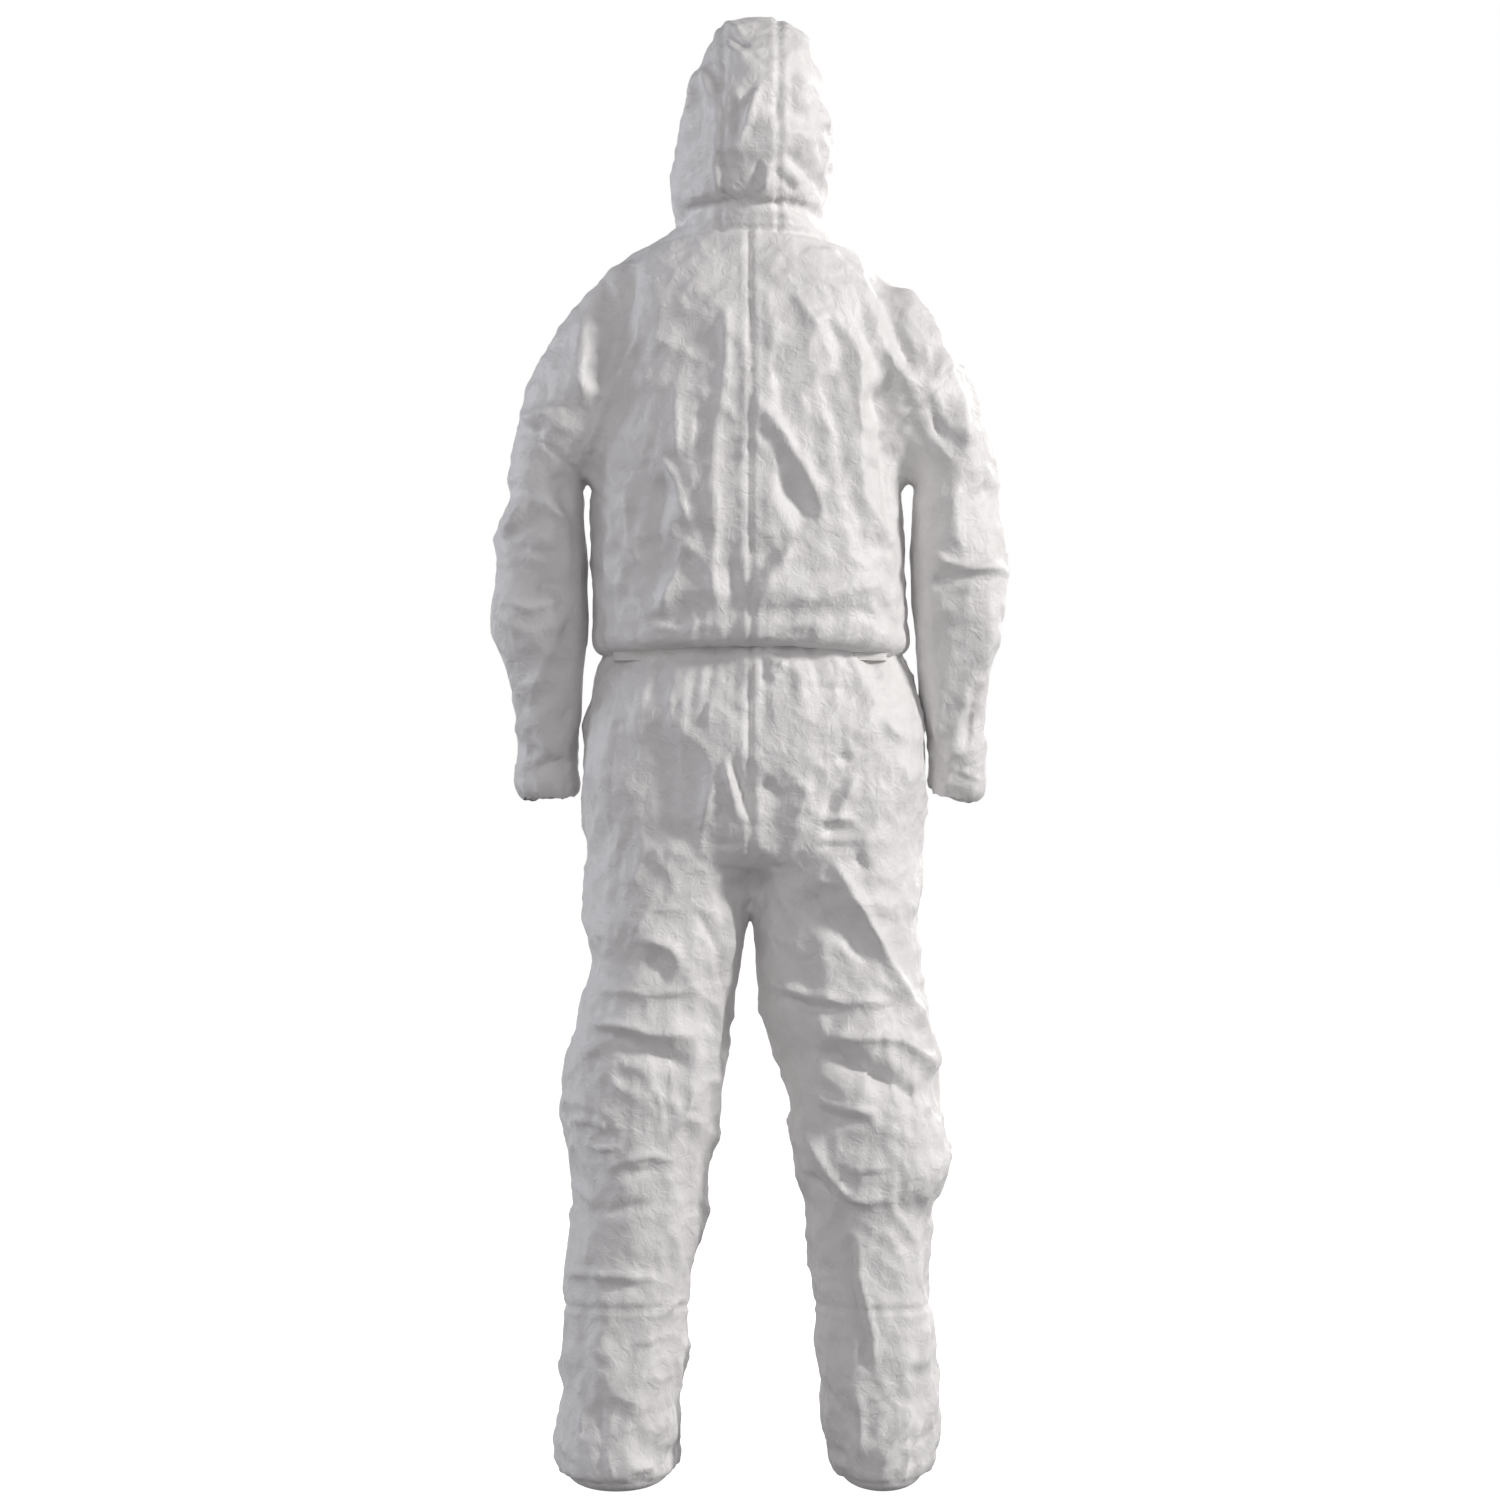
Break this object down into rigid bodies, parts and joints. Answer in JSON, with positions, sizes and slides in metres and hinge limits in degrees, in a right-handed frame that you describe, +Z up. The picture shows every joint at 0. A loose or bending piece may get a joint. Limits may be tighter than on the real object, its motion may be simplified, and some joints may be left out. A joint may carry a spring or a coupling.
{
  "type": "chemical protective suit",
  "caption": "White hooded protective coverall with attached socks, elastic cuffs, waist and hood, and a zip under a storm flap.",
  "frame": {"origin": "on the floor, midway between the soles, under the middle of the suit's depth", "axes": "+Z up, front faces -Y, the wearer's left is +X"},
  "size_m": [0.6406, 0.3352, 1.8],
  "materials": {
    "laminate": "matte",
    "sole": "matte",
    "elastic": "matte",
    "zip_tape": "matte",
    "zip_coil": "semi-gloss",
    "zip_metal": "semi-gloss",
    "adhesive": "satin",
    "label": "matte"
  },
  "bodies": {
    "torso": {"back_panel_left": "laminate", "back_panel_right": "laminate", "front_panel_left": "laminate", "front_panel_right": "laminate", "shoulder_back_left": "laminate", "shoulder_back_right": "laminate", "shoulder_front_left": "laminate", "shoulder_front_right": "laminate", "trouser_waist_back_left": "laminate", "trouser_waist_back_right": "laminate", "trouser_waist_front_left": "laminate", "trouser_waist_front_right": "laminate", "trouser_seat_back_left": "laminate", "trouser_seat_back_right": "laminate", "trouser_seat_front_left": "laminate", "trouser_seat_front_right": "laminate", "hood_neck_left": "laminate", "hood_neck_right": "laminate", "zip_tape_left": "zip_tape", "zip_tape_right": "zip_tape", "zip_teeth_left": "zip_coil", "zip_teeth_right": "zip_coil", "hood_neck_centre": "laminate", "waist_elastic": "elastic", "size_label": "label", "zip_stops": "zip_coil", "storm_flap_seam": "laminate"},
    "hood": {"hood_crown_left": "laminate", "hood_crown_right": "laminate", "hood_crown_centre": "laminate", "hood_face_elastic": "elastic"},
    "upper_arm_left": {"sleeve_upper_left": "laminate", "sleeve_elbow_left": "laminate"},
    "forearm_left": {"sleeve_forearm_left": "laminate", "cuff_elastic_left": "elastic"},
    "thigh_left": {"trouser_thigh_back_left": "laminate", "trouser_thigh_front_left": "laminate", "trouser_knee_left": "laminate"},
    "shin_left": {"trouser_shin_back_left": "laminate", "trouser_shin_front_left": "laminate", "sock_outer_left": "laminate", "sock_inner_left": "laminate", "sock_sole_left": "sole"},
    "upper_arm_right": {"sleeve_upper_right": "laminate", "sleeve_elbow_right": "laminate"},
    "forearm_right": {"sleeve_forearm_right": "laminate", "cuff_elastic_right": "elastic"},
    "thigh_right": {"trouser_thigh_back_right": "laminate", "trouser_thigh_front_right": "laminate", "trouser_knee_right": "laminate"},
    "shin_right": {"trouser_shin_back_right": "laminate", "trouser_shin_front_right": "laminate", "sock_outer_right": "laminate", "sock_inner_right": "laminate", "sock_sole_right": "sole"},
    "slider": {"zip_slider": "zip_metal"},
    "pull_tab": {"zip_pull_tab": "zip_metal"},
    "flap": {"storm_flap": "laminate", "storm_flap_adhesive": "adhesive"}
  },
  "joints": [
    {"name": "hood_back", "type": "hinge", "parent": "torso", "child": "hood", "pos_m": [0, 0.04, 1.54], "axis": [-1, 0, 0], "range_deg": [0, 50], "deforming": ["hood_neck_left", "hood_neck_right", "hood_neck_centre"]},
    {"name": "shoulder_left", "type": "hinge", "parent": "torso", "child": "upper_arm_left", "pos_m": [0.175, 0.0211, 1.405], "axis": [-1, 0, 0], "range_deg": [-30, 60], "deforming": ["shoulder_back_left", "shoulder_front_left"]},
    {"name": "elbow_left", "type": "hinge", "parent": "upper_arm_left", "child": "forearm_left", "pos_m": [0.258, 0.009, 1.083], "axis": [-1, 0, 0], "range_deg": [0, 80], "deforming": ["sleeve_elbow_left"]},
    {"name": "hip_left", "type": "hinge", "parent": "torso", "child": "thigh_left", "pos_m": [0.095, 0.0182, 0.88], "axis": [-1, 0, 0], "range_deg": [-20, 60], "deforming": ["trouser_seat_back_left", "trouser_seat_front_left"]},
    {"name": "knee_left", "type": "hinge", "parent": "thigh_left", "child": "shin_left", "pos_m": [0.14, 0.01, 0.5], "axis": [1, 0, 0], "range_deg": [0, 70], "deforming": ["trouser_knee_left"]},
    {"name": "shoulder_right", "type": "hinge", "parent": "torso", "child": "upper_arm_right", "pos_m": [-0.175, 0.0211, 1.405], "axis": [-1, 0, 0], "range_deg": [-30, 60], "deforming": ["shoulder_back_right", "shoulder_front_right"]},
    {"name": "elbow_right", "type": "hinge", "parent": "upper_arm_right", "child": "forearm_right", "pos_m": [-0.258, 0.009, 1.083], "axis": [-1, 0, 0], "range_deg": [0, 80], "deforming": ["sleeve_elbow_right"]},
    {"name": "hip_right", "type": "hinge", "parent": "torso", "child": "thigh_right", "pos_m": [-0.095, 0.0182, 0.88], "axis": [-1, 0, 0], "range_deg": [-20, 60], "deforming": ["trouser_seat_back_right", "trouser_seat_front_right"]},
    {"name": "knee_right", "type": "hinge", "parent": "thigh_right", "child": "shin_right", "pos_m": [-0.14, 0.01, 0.5], "axis": [1, 0, 0], "range_deg": [0, 70], "deforming": ["trouser_knee_right"]},
    {"name": "zip_slide", "type": "slide", "parent": "torso", "child": "slider", "axis": [0, -0.0512, -0.9987], "range_m": [0, 0.6]},
    {"name": "pull_tab_swing", "type": "hinge", "parent": "slider", "child": "pull_tab", "pos_m": [0, -0.0753, 1.48421], "axis": [-1, 0, 0], "range_deg": [0, 150]},
    {"name": "storm_flap_open", "type": "hinge", "parent": "torso", "child": "flap", "pos_m": [0.031, -0.09345, 1.19276], "axis": [0, 0.0512, 0.9987], "range_deg": [0, 150]}
  ]
}
